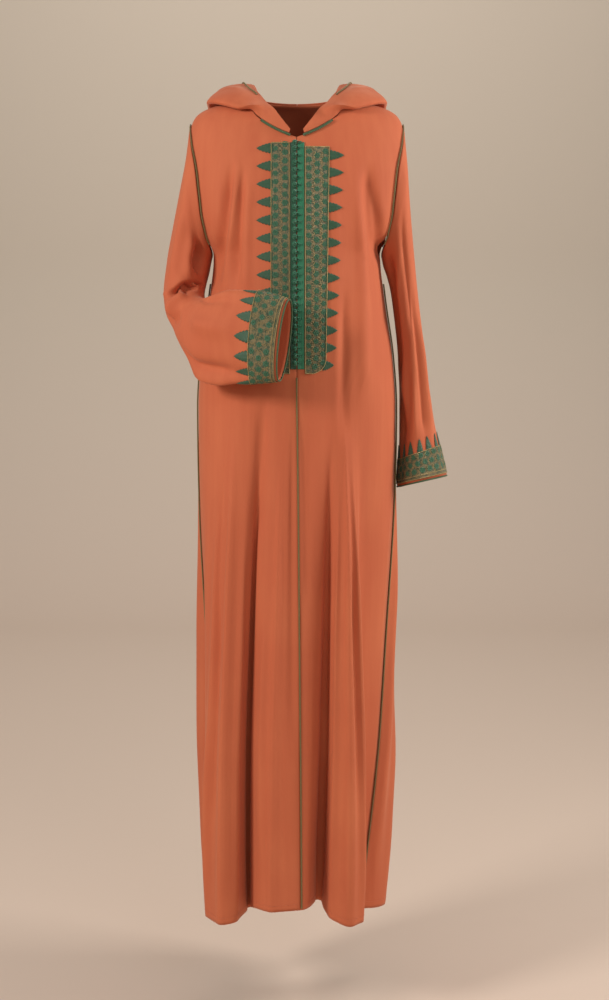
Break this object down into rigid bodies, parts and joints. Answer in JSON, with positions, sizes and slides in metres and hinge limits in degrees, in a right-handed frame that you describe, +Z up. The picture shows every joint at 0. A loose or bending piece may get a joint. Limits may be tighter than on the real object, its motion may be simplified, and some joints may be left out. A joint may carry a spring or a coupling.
{
  "type": "djellaba robe",
  "caption": "Long hooded robe in plain crepe with an embroidered chest piece and cuffs, knotted buttons and corded seams, hanging as worn with one sleeve bent across the front.",
  "frame": {"origin": "middle of the wearer's shoulders, level with the shoulder line, which carries the robe", "axes": "+Z up, the front of the robe faces -Y, +X is towards the wearer's left sleeve"},
  "size_m": [0.4975, 0.3623, 1.4613],
  "materials": {
    "terracotta_crepe": "crepe with a slight soft sheen",
    "green_gold_embroidery": "green thread with gold scrolls",
    "green_silk_braid": "satin braid",
    "olive_cord": "twisted thread"
  },
  "bodies": {
    "root": {"armhole_cord_left": "olive_cord", "armhole_cord_right": "olive_cord", "back": "terracotta_crepe", "button_01": "green_silk_braid", "button_02": "green_silk_braid", "button_03": "green_silk_braid", "button_04": "green_silk_braid", "button_05": "green_silk_braid", "button_06": "green_silk_braid", "button_07": "green_silk_braid", "button_08": "green_silk_braid", "button_09": "green_silk_braid", "button_10": "green_silk_braid", "button_11": "green_silk_braid", "button_12": "green_silk_braid", "button_13": "green_silk_braid", "button_14": "green_silk_braid", "button_15": "green_silk_braid", "button_16": "green_silk_braid", "button_17": "green_silk_braid", "button_18": "green_silk_braid", "button_19": "green_silk_braid", "button_20": "green_silk_braid", "button_21": "green_silk_braid", "button_22": "green_silk_braid", "button_23": "green_silk_braid", "button_24": "green_silk_braid", "button_25": "green_silk_braid", "button_26": "green_silk_braid", "button_27": "green_silk_braid", "button_28": "green_silk_braid", "button_29": "green_silk_braid", "button_30": "green_silk_braid", "button_31": "green_silk_braid", "cuff_cord_left": "green_silk_braid", "cuff_cord_right": "green_silk_braid", "cuff_embroidery_left": "green_gold_embroidery", "cuff_embroidery_right": "green_gold_embroidery", "front_left": "terracotta_crepe", "front_right": "terracotta_crepe", "front_seam_cord": "olive_cord", "hood_cord_left": "olive_cord", "hood_cord_right": "olive_cord", "hood_left": "terracotta_crepe", "hood_right": "terracotta_crepe", "neck_cord_left": "green_silk_braid", "neck_cord_right": "green_silk_braid", "placket_braid_left": "green_silk_braid", "placket_braid_right": "green_silk_braid", "plastron_left": "green_gold_embroidery", "plastron_right": "green_gold_embroidery", "side_seam_cord_left": "olive_cord", "side_seam_cord_right": "olive_cord", "sleeve_left": "terracotta_crepe", "sleeve_right": "terracotta_crepe"}
  },
  "joints": []
}
